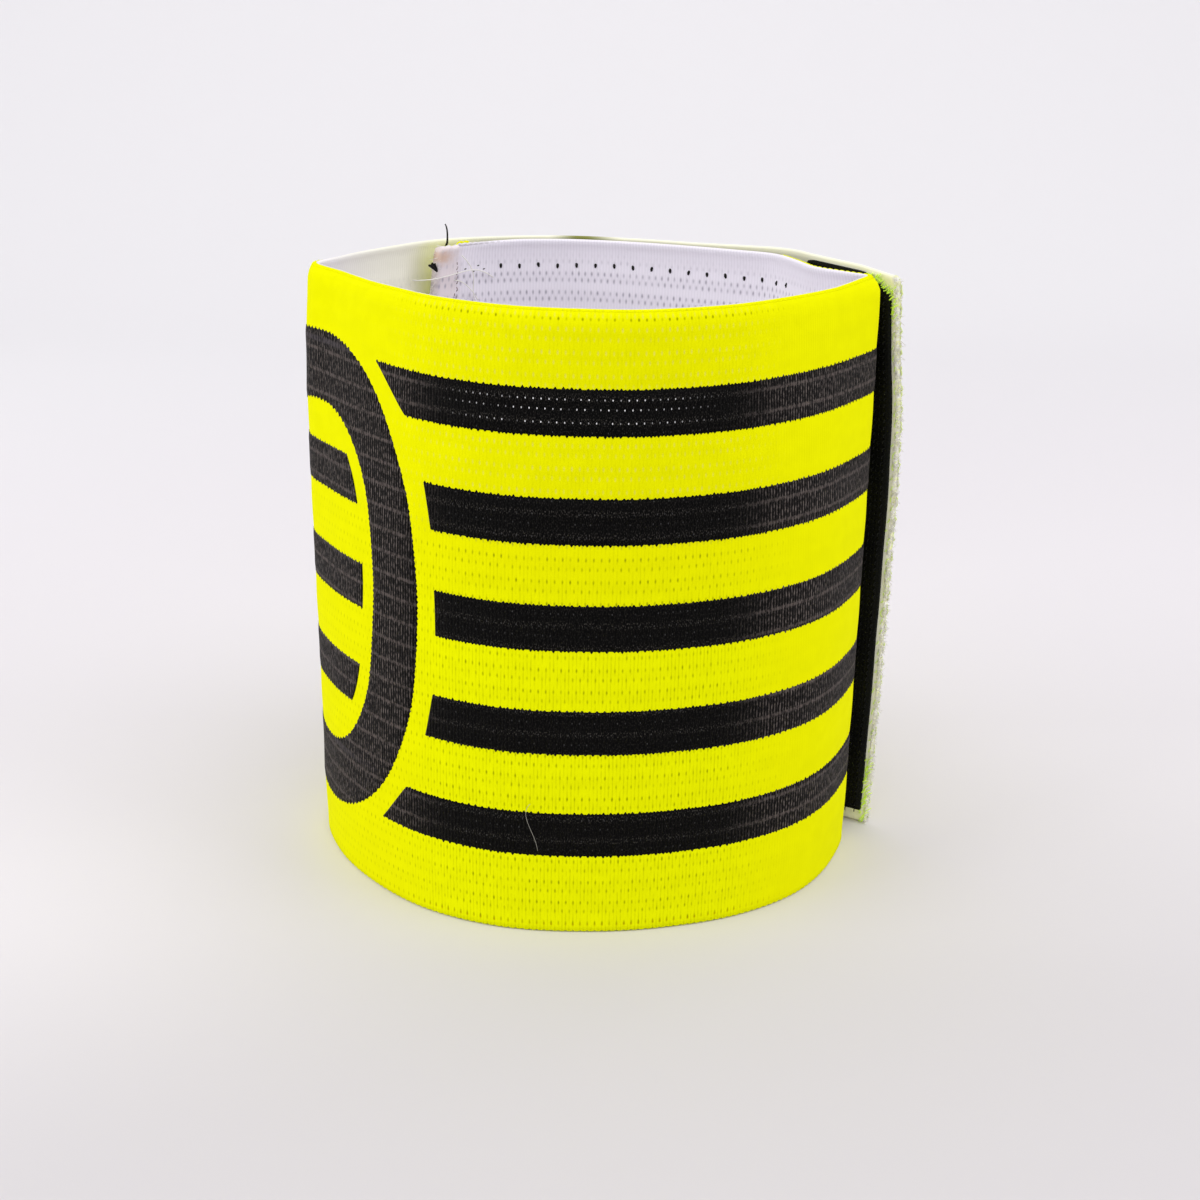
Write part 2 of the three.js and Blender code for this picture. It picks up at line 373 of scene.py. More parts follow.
def strip_place(length, height):
    """The UV coordinates of points of the strip: the length and the knitted height, in mm."""
    return np.stack([length, knit_height(height)], axis=-1).reshape(-1, 2)


def strip_coordinates(tree):
    """The strip's own coordinates in mm, from the piece's UV map."""
    return add(tree, "UVMap", uv_map="strip_mm").outputs["UV"]


def math_node(tree, operation, first, second):
    """One sum, product or comparison of two values."""
    return add(tree, "Math", {0: first, 1: second}, operation=operation).outputs[0]


def ramp(tree, value, start, end, low=0.0, high=1.0):
    """The value mapped smoothly from low at the start to high at the end, and held outside."""
    return add(tree, "MapRange", {"Value": value, "From Min": start, "From Max": end, "To Min": low,
                                  "To Max": high}, interpolation_type="SMOOTHSTEP").outputs[0]


def blend(tree, share, first, second, kind="MIX"):
    """Mixes two colours."""
    return add(tree, "Mix", {0: share, 6: first, 7: second}, data_type="RGBA", blend_type=kind).outputs[2]


def gap_row(tree, place, at, cell, half, soft=0.6):
    """Mask of one lattice of gaps: the coordinates are moved so that a gap's centre is the origin, wrapped
    into one cell, divided by the gap's half width and half height, and their length is compared with 1.
    Returns the mask and a random number for each gap."""
    moved = add(tree, "VectorMath", {0: place, 1: (-at[0], -at[1], 0)}, operation="ADD").outputs[0]
    wrapped = add(tree, "VectorMath", {0: moved, 1: (cell[0] / 2, cell[1] / 2, 1),
                                       2: (-cell[0] / 2, -cell[1] / 2, -1)}, operation="WRAP").outputs[0]
    scaled = add(tree, "VectorMath", {0: wrapped, 1: (1 / half[0], 1 / half[1], 0)},
                 operation="MULTIPLY").outputs[0]
    distance = add(tree, "VectorMath", {0: scaled}, operation="LENGTH").outputs["Value"]
    number = add(tree, "VectorMath", {0: moved, 1: (1 / cell[0], 1 / cell[1], 1), 2: (0.5, 0.5, 0.5)},
                 operation="MULTIPLY_ADD").outputs[0]
    whole = add(tree, "VectorMath", {0: number}, operation="FLOOR").outputs[0]
    chance = add(tree, "TexWhiteNoise", {"Vector": whole}, noise_dimensions="3D").outputs["Value"]
    return ramp(tree, distance, 1.0, 1 - soft), chance


def gap_pair(tree, place, half, soft=0.6, pitch=GAP_PITCH, step=ROW_STEP):
    """The two rows of each pair of gaps: the lower one lies a step down and half a cell along."""
    return [gap_row(tree, place, at, (pitch, ROW_PITCH), half, soft)
            for at in ((0.0, FIRST_ROW), (pitch / 2, FIRST_ROW - step))]


def stretched(tree, length):
    """Mask of the front, where the strip is stretched and its gaps are open, fading towards both folds."""
    return math_node(tree, "MULTIPLY", ramp(tree, length, FRONT_FROM, FRONT_FROM + FRONT_FADE),
                     ramp(tree, length, FRONT_TO, FRONT_TO - FRONT_FADE))


def ribs(tree, place):
    """Upright ribs as a sine of the length along the strip. The Wave node's own period is a tenth of pi at
    scale 1, so its scale is that over the rib's pitch."""
    return add(tree, "TexWave", {"Vector": place, "Scale": math.pi / 10 / RIB_PITCH, "Distortion": 0.35,
                                 "Detail": 1.0, "Detail Scale": 1.5}, wave_type="BANDS",
               bands_direction="X").outputs["Fac"]


def row_ridges(tree, place):
    """Soft ridges along the strip, as a sine of the height whose crests lie on the pairs of rows."""
    moved = add(tree, "VectorMath", {0: place, 1: (0, -FIRST_ROW + ROW_STEP / 2 + ROW_PITCH / 4, 0)},
                operation="ADD").outputs[0]
    return add(tree, "TexWave", {"Vector": moved, "Scale": math.pi / 10 / ROW_PITCH, "Distortion": 0.2,
                                 "Detail Scale": 0.2}, wave_type="BANDS", bands_direction="Y").outputs["Fac"]


def upright_fibres(tree, place, fine=5.0, tall=1.6):
    """Noise drawn out upwards, as loose filaments lie: finer along the strip than up it."""
    drawn = add(tree, "VectorMath", {0: place, 1: (fine, tall, 1)}, operation="MULTIPLY").outputs[0]
    return add(tree, "TexNoise", {"Vector": drawn, "Scale": 1.0, "Detail": 2.0}).outputs["Fac"]


print("knit, mm: a rib every", RIB_PITCH, "and a pair of rows every", ROW_PITCH)

# %% [markdown]
# ## Fluorescent yellow elastic
# Fluorescent polyester yarn sends back more yellow light than falls on it, so it looks flat and bright, with
# no blue left in it at all. The shader has no gloss to add blue, and a faint glow of the same yellow stands
# for the light that the dye turns from blue to yellow. The gaps show the pale core above and shade below.

# %% Yellow material
YELLOW = "#E8E900"
# Painted shade: the darker yellows between the ribs, the darker one low on the front.
YELLOW_RIB_SHADE = "#DFE000"
LOW_RIB_SHADE = "#D2D700"
# Painted light: a greener yellow low on the front, for the light thrown up from the floor.
FLOOR_LIT_YELLOW = "#EAF000"
GAP_SHADE = "#8A8F00"
GAP_CORE = "#DCCB78"
# Painted shade in the notches along both long edges.
NOTCH_SHADE_TOP, NOTCH_SHADE_BOTTOM = "#6F7000", "#A88C00"
# Heights between which the gaps turn pale, and lengths between which they close towards the left fold.
PALE_GAPS_FROM, PALE_GAPS_TO = 56.0, 66.0
YELLOW_GAPS_FROM, YELLOW_GAPS_TO = 150.0, 208.0
YELLOW_GAP_HALF, YELLOW_GAP_DEPTHS = (0.22, 0.5), (1.0, 0.75)


def yellow_knit():
    """Yellow ribs with a darker yellow between them as painted shade, and a gap at each crossing of the
    yarns: shaded low down, and showing the pale core higher up. Low on the front a greener yellow is painted
    light thrown up from the floor. A row of notches, darkened with painted shade, runs just inside each long
    edge."""
    material, tree, shader = new_material(
        "fluorescent polyester elastic knitted yellow", Roughness=0.9, Specular_IOR_Level=0.02,
        Emission_Color=linear("#F4FF00"), Emission_Strength=0.05)
    place = strip_coordinates(tree)
    length, height = add(tree, "SeparateXYZ", {0: place}).outputs[0:2]
    rib, ridge, front = ribs(tree, place), row_ridges(tree, place), stretched(tree, length)
    # Low on the front the yellow is tinted greener: painted light from the floor.
    low = math_node(tree, "MULTIPLY", front, ramp(tree, height, 62.0, 40.0))
    face = blend(tree, low, linear(YELLOW), linear(FLOOR_LIT_YELLOW))
    cloudy = add(tree, "TexNoise", {"Vector": place, "Scale": 0.35, "Detail": 3.0}).outputs["Fac"]
    fibre = upright_fibres(tree, place, 3.0, 0.5)
    # Painted shade in the hollows between the ribs.
    rib_shade = math_node(tree, "MULTIPLY", ramp(tree, rib, 0.6, 0.0), ramp(tree, fibre, 0.35, 0.65))
    rib_shade = math_node(tree, "MULTIPLY", rib_shade, ramp(tree, front, 0.0, 1.0, 0.1, 0.9))
    colour = blend(tree, rib_shade, face, blend(tree, low, linear(YELLOW_RIB_SHADE), linear(LOW_RIB_SHADE)))
    colour = blend(tree, 1.0, colour, ramp(tree, cloudy, 0.3, 0.7, 0.965, 1.0), "MULTIPLY")
    pale = ramp(tree, height, PALE_GAPS_FROM, PALE_GAPS_TO)
    gap_colour = blend(tree, pale, linear(GAP_SHADE), linear(GAP_CORE))
    closing = math_node(tree, "MULTIPLY", ramp(tree, length, YELLOW_GAPS_TO, YELLOW_GAPS_FROM, 0.1, 0.8),
                        ramp(tree, pale, 1.0, 0.0, 0.1, 1.0))
    open_gaps = math_node(tree, "MULTIPLY", math_node(tree, "MAXIMUM", front, closing),
                          ramp(tree, length, FRONT_FROM, FRONT_FROM + FRONT_FADE))
    patchy = math_node(tree, "MULTIPLY", ramp(tree, cloudy, 0.42, 0.6, 0.6, 1.0),
                       ramp(tree, pale, 0.0, 1.0, 1.0, 0.5))
    dents = 0.0
    for (mask, chance), depth in zip(gap_pair(tree, place, YELLOW_GAP_HALF, 1.0), YELLOW_GAP_DEPTHS):
        shown = math_node(tree, "MULTIPLY", mask, ramp(tree, chance, 0.0, 0.9, 0.6 * depth, depth))
        shown = math_node(tree, "MULTIPLY", shown, open_gaps)
        colour = blend(tree, math_node(tree, "MULTIPLY", shown, patchy), colour, gap_colour)
        dents = math_node(tree, "MAXIMUM", dents, shown)
    # Notches along both long edges, darkened with painted shade.
    for level, tone in ((BAND_HEIGHT - 1.2, NOTCH_SHADE_TOP), (1.3, NOTCH_SHADE_BOTTOM)):
        at = (0, float(knit_height(level)))
        mask, chance = gap_row(tree, place, at, (GAP_PITCH, 1000.0), (0.24, 0.36), 0.9)
        shown = math_node(tree, "MULTIPLY", mask, ramp(tree, chance, 0.0, 0.8, 0.25, 0.8))
        colour = blend(tree, math_node(tree, "MULTIPLY", shown, front), colour, linear(tone))
    tree.links.new(colour, shader.inputs["Base Color"])
    relief = math_node(tree, "ADD", math_node(tree, "MULTIPLY", rib, 0.2), ridge)
    relief = math_node(tree, "SUBTRACT", relief, dents)
    bump = add(tree, "Bump", {"Strength": 0.7, "Distance": 0.045 * MM, "Height": relief}).outputs[0]
    tree.links.new(bump, shader.inputs["Normal"])
    return material


# %% [markdown]
# ## White inside
# The inside of the elastic is undyed polyester over the rubber threads. Each crossing of the yarns shows as
# a short upright slit, darkened with painted shade in it and round it. The ribs have painted shade between
# them, and where the strip comes round behind a cream tint is painted yellow light from the fluorescent face.
# A rust-coloured smudge of glue has soaked into the hem at the inner end.

# %% White material
WHITE = "#F5F1F9"
# Painted shade between the ribs.
WHITE_RIB_SHADE = "#EEEAF2"
# Painted light: a cream tint where the strip comes round behind, for yellow light from the fluorescent face.
BOUNCED_YELLOW_TINT = "#FBFAE8"
WORN = "#E9DFE1"
SHADED = "#7E8230"
# Painted shade in each slit and round it.
SLIT_SHADE = "#A09AA8"
SLIT_PITCH, SLIT_STEP = 1.1, 1.1
SLIT_HALF, SLIT_DEPTHS = (0.3, 0.62), (0.95, 0.85)
SMUDGE = "#DDBBA0"
SLITS_TO = 78.0
BOUNCED_YELLOW_FROM, BOUNCED_YELLOW_TO = 185.0, 215.0
SHADE_FROM, SHADE_TO = 244.5, 250.0
SMUDGE_PLACE, SMUDGE_SIZE = (-0.3, float(knit_height(BAND_HEIGHT - 2.1))), (1.8, 1.3)


def white_knit():
    """White ribs with painted shade between them and a slit at each crossing of the yarns, darkened with
    painted shade; a cream tint of painted yellow light where the strip comes round behind, worn on the hem,
    olive in the shade beside it, and with the glue's smudge at its top."""
    material, tree, shader = new_material(
        "undyed polyester elastic, inner face", Roughness=0.85, Specular_IOR_Level=0.15)
    place = strip_coordinates(tree)
    length, height = add(tree, "SeparateXYZ", {0: place}).outputs[0:2]
    rib, ridge = ribs(tree, place), row_ridges(tree, place)
    # White ribs with painted shade between them.
    colour = blend(tree, rib, linear(WHITE_RIB_SHADE), linear(WHITE))
    # Cream tint of painted yellow light where the strip comes round behind.
    colour = blend(tree, ramp(tree, length, BOUNCED_YELLOW_FROM, BOUNCED_YELLOW_TO), colour, linear(BOUNCED_YELLOW_TINT))
    colour = blend(tree, ramp(tree, length, 4.5, 1.5), colour, linear(WORN))
    between = math_node(tree, "MULTIPLY", ramp(tree, length, SHADE_FROM, SHADE_TO),
                        ramp(tree, length, SHADE_TO + 8, SHADE_TO + 1))
    colour = blend(tree, math_node(tree, "MULTIPLY", between, 0.95), colour, linear(SHADED))
    open_slits = math_node(tree, "MULTIPLY", ramp(tree, length, SLITS_TO + 15, SLITS_TO, 0.12, 1.0),
                           ramp(tree, height, float(knit_height(BAND_HEIGHT - 1.5)),
                                float(knit_height(BAND_HEIGHT - 6.5))))
    dents = 0.0
    slits = gap_pair(tree, place, SLIT_HALF, 1.0, SLIT_PITCH, SLIT_STEP)
    for (mask, chance), depth in zip(slits, SLIT_DEPTHS):
        shown = math_node(tree, "MULTIPLY", mask, ramp(tree, chance, 0.0, 1.0, 0.6 * depth, depth))
        shown = math_node(tree, "MULTIPLY", shown, open_slits)
        # The slits are painted shade.
        colour = blend(tree, shown, colour, linear(SLIT_SHADE))
        dents = math_node(tree, "MAXIMUM", dents, shown)
    moved = add(tree, "VectorMath", {0: place, 1: (-SMUDGE_PLACE[0], -SMUDGE_PLACE[1], 0)},
                operation="ADD").outputs[0]
    moved = add(tree, "VectorMath", {0: moved, 1: (1 / SMUDGE_SIZE[0], 1 / SMUDGE_SIZE[1], 0)},
                operation="MULTIPLY").outputs[0]
    distance = add(tree, "VectorMath", {0: moved}, operation="LENGTH").outputs["Value"]
    uneven = add(tree, "TexNoise", {"Vector": place, "Scale": 1.6, "Detail": 3.0}).outputs["Fac"]
    smudge = ramp(tree, math_node(tree, "ADD", distance, uneven), 1.9, 0.5, 0.0, 0.8)
    colour = blend(tree, smudge, colour, linear(SMUDGE))
    tree.links.new(colour, shader.inputs["Base Color"])
    relief = math_node(tree, "ADD", math_node(tree, "MULTIPLY", rib, 0.25), ridge)
    relief = math_node(tree, "SUBTRACT", relief, math_node(tree, "MULTIPLY", dents, 1.5))
    bump = add(tree, "Bump", {"Strength": 0.7, "Distance": 0.06 * MM, "Height": relief}).outputs[0]
    tree.links.new(bump, shader.inputs["Normal"])
    return material


# %% [markdown]
# ## Black yarn
# The stripes are knitted in black yarn. Filament polyester has a soft sheen that shows where the cloth turns
# away from the eye. Past the front the strip isn't stretched, so the ribs stand up there, and the light they
# catch is painted on them in pale patches, with a painted highlight along each ridge and each stripe's top
# course. Tiny glints are painted on the crests, and in the uppermost stripe, where the strip is stretched
# most, the white core peeps through the gaps.

# %% Black material
BLACK = "#020202"
BLACK_RIB = "#0B0A09"
# Painted highlights: pale ribs at the sides, ridge lines, glints on the crests and each stripe's top course.
SIDE_RIB_HIGHLIGHT = "#675F5A"
FILAMENT_GLINT = "#4A4742"
RIDGE_HIGHLIGHT = "#5E5551"
TOP_COURSE_SHEEN = "#4C4749"
PEEP = "#FFFFFF"
# The core peeps above this height. The top course of a stripe lies this far above a whole number of pitches.
PEEP_LOWEST = 74.7
STRIPE_TOP = 4.42
PEEP_HALF = (0.105, 0.17)


def black_knit():
    """Black, with painted highlights: paler ribs where the strip isn't stretched, a thin line on each ridge
    and on each stripe's top course, and glints on the crests. The core's white shows in the gaps."""
    material, tree, shader = new_material(
        "black polyester yarn knitted in", Roughness=0.6, Specular_IOR_Level=0.05, Sheen_Weight=0.025,
        Sheen_Roughness=0.3, Sheen_Tint=linear("#FFF6EE"))
    place = strip_coordinates(tree)
    length, height = add(tree, "SeparateXYZ", {0: place}).outputs[0:2]
    rib, ridge, fibre = ribs(tree, place), row_ridges(tree, place), upright_fibres(tree, place, 7.0, 3.5)
    front = stretched(tree, length)
    side = ramp(tree, front, 1.0, 0.0)
    crest = ramp(tree, ridge, 0.6, 1.0)
    # Painted highlight on the ribs where the strip isn't stretched.
    raised = blend(tree, side, linear(BLACK_RIB), linear(SIDE_RIB_HIGHLIGHT))
    drawn = upright_fibres(tree, place, 2.4, 1.3)
    lit = math_node(tree, "MULTIPLY", ramp(tree, rib, 0.3, 0.9), ramp(tree, drawn, 0.42, 0.66, 0.1, 1.0))
    colour = blend(tree, lit, linear(BLACK), raised)
    # A painted highlight along each ridge at the sides.
    line = math_node(tree, "MULTIPLY", ramp(tree, ridge, 0.9, 1.0), ramp(tree, drawn, 0.35, 0.6, 0.1, 0.9))
    colour = blend(tree, math_node(tree, "MULTIPLY", line, side), colour, linear(RIDGE_HIGHLIGHT))
    # Painted glints on the crests.
    shine = math_node(tree, "MULTIPLY", ramp(tree, fibre, 0.52, 0.7), ramp(tree, crest, 0.0, 1.0, 0.3, 0.9))
    colour = blend(tree, shine, colour, linear(FILAMENT_GLINT))
    # Painted sheen along each stripe's top course, past the front towards the left fold.
    course = math_node(tree, "PINGPONG", math_node(tree, "SUBTRACT", height, STRIPE_TOP), STRIPE_PITCH / 2)
    course = math_node(tree, "MULTIPLY", ramp(tree, course, 0.6, 0.15), ramp(tree, length, 168.0, 186.0))
    course = math_node(tree, "MULTIPLY", course, ramp(tree, drawn, 0.3, 0.6, 0.3, 0.8))
    colour = blend(tree, course, colour, linear(TOP_COURSE_SHEEN))
    peeping = math_node(tree, "MULTIPLY", ramp(tree, length, 119.0, 131.0), ramp(tree, length, 160.0, 147.0))
    peeping = math_node(tree, "MULTIPLY", peeping,
                        math_node(tree, "GREATER_THAN", height, float(knit_height(PEEP_LOWEST))))
    dents = 0.0
    for mask, chance in gap_pair(tree, place, PEEP_HALF, 0.4):
        often = math_node(tree, "MULTIPLY", ramp(tree, chance, 0.0, 0.7, 0.05, 0.9), peeping)
        faint = math_node(tree, "MULTIPLY", ramp(tree, chance, 0.2, 1.0, 0.0, 0.05), front)
        shown = math_node(tree, "MULTIPLY", mask, math_node(tree, "MAXIMUM", often, faint))
        colour = blend(tree, shown, colour, linear(PEEP))
        dents = math_node(tree, "MAXIMUM", dents, mask)
    tree.links.new(colour, shader.inputs["Base Color"])
    relief = math_node(tree, "ADD", math_node(tree, "MULTIPLY", rib, 0.6), ridge)
    relief = math_node(tree, "ADD", relief, math_node(tree, "MULTIPLY", fibre, 0.8))
    relief = math_node(tree, "SUBTRACT", relief, dents)
    bump = add(tree, "Bump", {"Strength": 1.0, "Distance": 0.13 * MM, "Height": relief}).outputs[0]
    tree.links.new(bump, shader.inputs["Normal"])
    return material


def cut_edge():
    """Cut elastic: matted ends of undyed filament, patchy with pale yellow."""
    material, tree, shader = new_material("matted ends of cut elastic", Roughness=0.9,
                                          Specular_IOR_Level=0.05)
    place = strip_coordinates(tree)
    matted = add(tree, "TexNoise", {"Vector": place, "Scale": 1.2, "Detail": 4.0}).outputs["Fac"]
    tree.links.new(blend(tree, ramp(tree, matted, 0.35, 0.65), linear("#EFF2AE"), linear("#FBFAF4")),
                   shader.inputs["Base Color"])
    return material


yellow, white, black, matted_ends = yellow_knit(), white_knit(), black_knit(), cut_edge()
print("materials:", [material.name for material in (yellow, white, black, matted_ends)])

# %% [markdown]
# ## Sheets of cloth on the wall
# A strip of cloth with two different faces could be a bare sheet with its thickness added afterwards, but the
# rim would then be square. Here a rounded section is carried along the strip: up the outer face, over the
# rim, and down the inner face. The elastic and both fastening tapes are made by this one function.

# %% Cloth sheet function
def bridge(a, b, c, d):
    """Faces between two rows of points, in the order a, b, c, d."""
    return np.stack([a, b, c, d], axis=1)


def cloth_sheet(lengths, bottom, top, outer, inner, rim, drop):
    """Closed sheet between two distances off the middle of the wall, outer and inner, which are functions
    of the length. rim lists how far in from the sheet's edge each step is, and the share of the half
    thickness that it has there. drop is a function too: how far the top edge is lowered at each length.
    Returns the points, the faces, each face's region and the place of each point on the strip. The regions
    are 0 outer face, 1 inner face, 2 long rims, 3 start and 4 end."""
    rim = np.asarray(rim)
    heights = np.concatenate([bottom + rim[:, 0], np.arange(bottom + 1.0, top - 0.9), top - rim[::-1, 0]])
    share = np.concatenate([rim[:, 1], np.ones(len(heights) - 2 * len(rim)), rim[::-1, 1]])
    length, height = np.meshgrid(lengths, heights, indexing="ij")
    height = height - drop(length) * (height / top) ** 10
    half, centre = (outer(length) - inner(length)) / 2, (outer(length) + inner(length)) / 2
    points = np.concatenate([wall(length, height, centre + half * share).reshape(-1, 3),
                             wall(length, height, centre - half * share).reshape(-1, 3)])
    columns, rows = length.shape
    i, j = np.arange(columns - 1), np.arange(rows - 1)
    top_row, last, inside = rows - 1, (columns - 1) * rows, columns * rows
    parts = [
        grid_faces(columns, rows),
        grid_faces(columns, rows, inside)[:, ::-1],
        bridge(i * rows + top_row, inside + i * rows + top_row, inside + (i + 1) * rows + top_row,
               (i + 1) * rows + top_row),
        bridge(i * rows, (i + 1) * rows, inside + (i + 1) * rows, inside + i * rows),
        bridge(j, inside + j, inside + j + 1, j + 1),
        bridge(last + j, last + j + 1, inside + last + j + 1, inside + last + j)]
    regions = np.repeat([0, 1, 2, 2, 3, 4], [len(part) for part in parts])
    place = strip_place(length, height)
    return points, np.concatenate(parts), regions, np.concatenate([place, place])


def constant(value):
    """A distance that is the same along the whole strip."""
    return lambda length: np.full(length.shape, value)


# %% [markdown]
# ## The elastic strip
# The end of the strip that lies inside is folded back and sewn down as a hem, so the inner face steps
# inwards there. Only the outer face is yellow: the rim and the inside are undyed.

# %% Elastic strip
END_OVERHANG = 0.7
HEM_LENGTH = 2.7
HEM_THICKNESS = 1.1
HEM_SLOPE = 0.25
HEM_DROP = 0.45
HEM_RECOVERS = 14.0
HEM_RIPPLE = 0.1
ROUND_RIM = [(0.0, 0.15), (0.1, 0.42), (0.35, 1.0)]


def hem_fold(length):
    """1 on the hem and 0 past it, with a short slope between."""
    return np.clip((HEM_LENGTH + HEM_SLOPE - length) / (2 * HEM_SLOPE), 0, 1)


def elastic_inner(length):
    """The inner face: half a thickness in, and the hem's fold as well."""
    return -HALF - HEM_THICKNESS * hem_fold(length)


def hem_drop(length):
    """The folded end is pulled down by its stitches, and the edge comes back up over the next centimetre.
    The hem's own edge ripples as a sine of the length."""
    pulled = HEM_DROP * np.interp(length, (HEM_LENGTH, HEM_RECOVERS), (1, 0))
    return pulled + HEM_RIPPLE * hem_fold(length) * np.sin(length * 5)


lengths = np.unique(np.concatenate([np.linspace(-END_OVERHANG, STRIP_LENGTH, 315), np.arange(0, 3.0, 0.3),
                                    HEM_LENGTH + HEM_SLOPE * np.array([-1.0, -0.4, 0.4, 1.0])]))
points, faces, regions, place = cloth_sheet(
    lengths, 0.0, BAND_HEIGHT, constant(HALF), elastic_inner, ROUND_RIM, hem_drop)
undyed_yarn, _, _ = new_material("undyed selvedge yarn", Base_Color=linear("#DEDAE0"), Roughness=0.85,
                                 Specular_IOR_Level=0.1)
band = make_piece("elastic_strip", points, faces, [yellow, white, undyed_yarn, matted_ends],
                  strip_mm=place, face_material=np.array([0, 1, 2, 1, 3])[regions])
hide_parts("elastic_band")

# %% [markdown]
# ## Stripes and oval ring
# The black yarn could be a mask in the yellow material, but a knitted stripe has an edge of single stitches,
# and its yarn lies a hair higher than the ground. Each stripe is therefore a thin sheet of its own on the
# strip, one column to each half stitch, whose edge steps in and out by a stitch. A plain oval ring stands
# where the strip bears its badge: the stripes stop short of it outside, and start again inside it.

# %% Black patches
RING_CENTRE = np.array([188.7, 45.2])
RING_OUTER = np.array([26.1, 36.0])
RING_INNER = np.array([16.5, 26.0])
OUTER_SQUARE, INNER_SQUARE = 2.28, 2.44
RING_GAP = 2.7
# Bottom and top edge of each stripe, and the length at which it starts beside the ring at those two heights.
STRIPES = [
    (12.35, 19.05, 170.1, 164.9),
    (28.10, 34.65, 161.2, 159.9),
    (43.45, 50.05, 159.4, 159.6),
    (58.55, 65.00, 160.2, 161.5),
    (73.40, 79.70, 165.4, 172.5),
]
STITCH = 0.24
YARN_LIFT = 0.12
YARN_SINK = 0.05
PATCH_ROWS = 7
STRIPES_FROM = 66.0
FLAP_MARGIN = 1.2


def oval_reach(half_sizes, height):
    """Half the width of the ring's inner oval at a height, zero above and below it: the two shares of its
    half sizes, raised to the power INNER_SQUARE, add up to 1. The power 2 would be an ellipse."""
    rise = np.clip(1 - np.abs((height - RING_CENTRE[1]) / half_sizes[1]) ** INNER_SQUARE, 0, None)
    return half_sizes[0] * rise ** (1 / INNER_SQUARE)


def patch(from_length, to_length, bottom, top):
    """Closed thin sheet on the outer face. Its ends are functions of the height. Its long edges step out at
    each second column, every other step being a whole stitch and the rest less, and its rim dips into the
    ground. The back is one row of faces."""
    rise = np.linspace(bottom, top, PATCH_ROWS)
    start, end = from_length(rise), to_length(rise)
    count = int(round((end - start).mean() / RIB_PITCH)) * 2 + 1
    share = np.linspace(0, 1, count)[:, None]
    length = start * (1 - share) + end * share
    column = np.arange(count)[:, None]
    whole = np.where(column % 4 == 1, rng.uniform(0.8, 1.6, column.shape),
                     rng.uniform(0.0, 0.9, column.shape))
    step = STITCH * (column % 2) * whole
    height = np.broadcast_to(rise, length.shape).copy()
    height[:, :1] -= step - 0.4 * STITCH
    height[:, -1:] += np.roll(step, 2) - 0.4 * STITCH
    lift = np.full(length.shape, YARN_LIFT)
    lift[:, [0, -1]] = lift[[0, -1], :] = 0.03
    front = wall(length, height, HALF + lift)
    back = wall(length[:, [0, -1]], height[:, [0, -1]], HALF - YARN_SINK)
    n = count * PATCH_ROWS
    k = np.arange(count - 1)
    faces = np.concatenate([
        grid_faces(count, PATCH_ROWS),
        bridge(k * PATCH_ROWS, (k + 1) * PATCH_ROWS, n + (k + 1) * 2, n + k * 2),
        bridge(k * PATCH_ROWS + PATCH_ROWS - 1, n + k * 2 + 1, n + (k + 1) * 2 + 1, (k + 2) * PATCH_ROWS - 1),
        bridge(n + k * 2, n + (k + 1) * 2, n + (k + 1) * 2 + 1, n + k * 2 + 1)]).tolist()
    faces.append([*range(PATCH_ROWS - 1, -1, -1), n, n + 1])
    faces.append([*range(n - PATCH_ROWS, n), n + 2 * count - 1, n + 2 * count - 2])
    place = np.concatenate([strip_place(length, height), strip_place(length[:, [0, -1]], height[:, [0, -1]])])
    return np.concatenate([front.reshape(-1, 3), back.reshape(-1, 3)]), faces, place


def triangle(value):
    """Triangle wave of period 1 between 0 and 1."""
    return np.abs(value % 1 - 0.5) * 2


def ring_patch():
    """Closed thin oval ring on the outer face: an angle round it and a share of its width. Its two edges
    move by a stitch with the gaps that they cross, and by less with the knitted rows."""
    count, across = 1000, 13
    angle = np.arange(count)[:, None] * 2 * np.pi / count
    share = np.linspace(0, 1, across)[None, :]
    half = RING_INNER[:, None, None] * (1 - share) + RING_OUTER[:, None, None] * share
    square = INNER_SQUARE * (1 - share) + OUTER_SQUARE * share
    reach = (np.abs(np.cos(angle)) ** square + np.abs(np.sin(angle)) ** square) ** (-1 / square)
    length = RING_CENTRE[0] + half[0] * np.cos(angle) * reach
    height = RING_CENTRE[1] + half[1] * np.sin(angle) * reach
    edge = np.zeros(across)
    edge[[0, -1]] = (-1, 1)
    rough = rng.uniform(0.5, 1.3, (count, 1))
    height = height + STITCH * edge * np.sin(angle) * (1.6 * triangle(length / GAP_PITCH) * rough - 0.5)
    length = length + STITCH * edge * np.cos(angle) * (triangle(height / (ROW_PITCH / 4)) * rough - 0.4)
    lift = np.full(length.shape, YARN_LIFT)
    lift[:, [0, -1]] = 0.03
    front = wall(length, height, HALF + lift)
    back = wall(length[:, [0, -1]], height[:, [0, -1]], HALF - YARN_SINK)
    k, m = np.arange(count)[:, None], np.arange(across - 1)[None, :]
    here, beside = k * across, (k + 1) % count * across
    n = count * across
    front_faces = np.stack([here + m, beside + m, beside + m + 1, here + m + 1], -1).reshape(-1, 4)[:, ::-1]
    k = np.arange(count)
    after = (k + 1) % count
    faces = np.concatenate([
        front_faces,
        bridge(k * across, after * across, n + after * 2, n + k * 2),
        bridge(k * across + across - 1, n + k * 2 + 1, n + after * 2 + 1, after * across + across - 1),
        bridge(n + k * 2, n + after * 2, n + after * 2 + 1, n + k * 2 + 1)]).tolist()
    place = np.concatenate([strip_place(length, height), strip_place(length[:, [0, -1]], height[:, [0, -1]])])
    return np.concatenate([front.reshape(-1, 3), back.reshape(-1, 3)]), faces, place


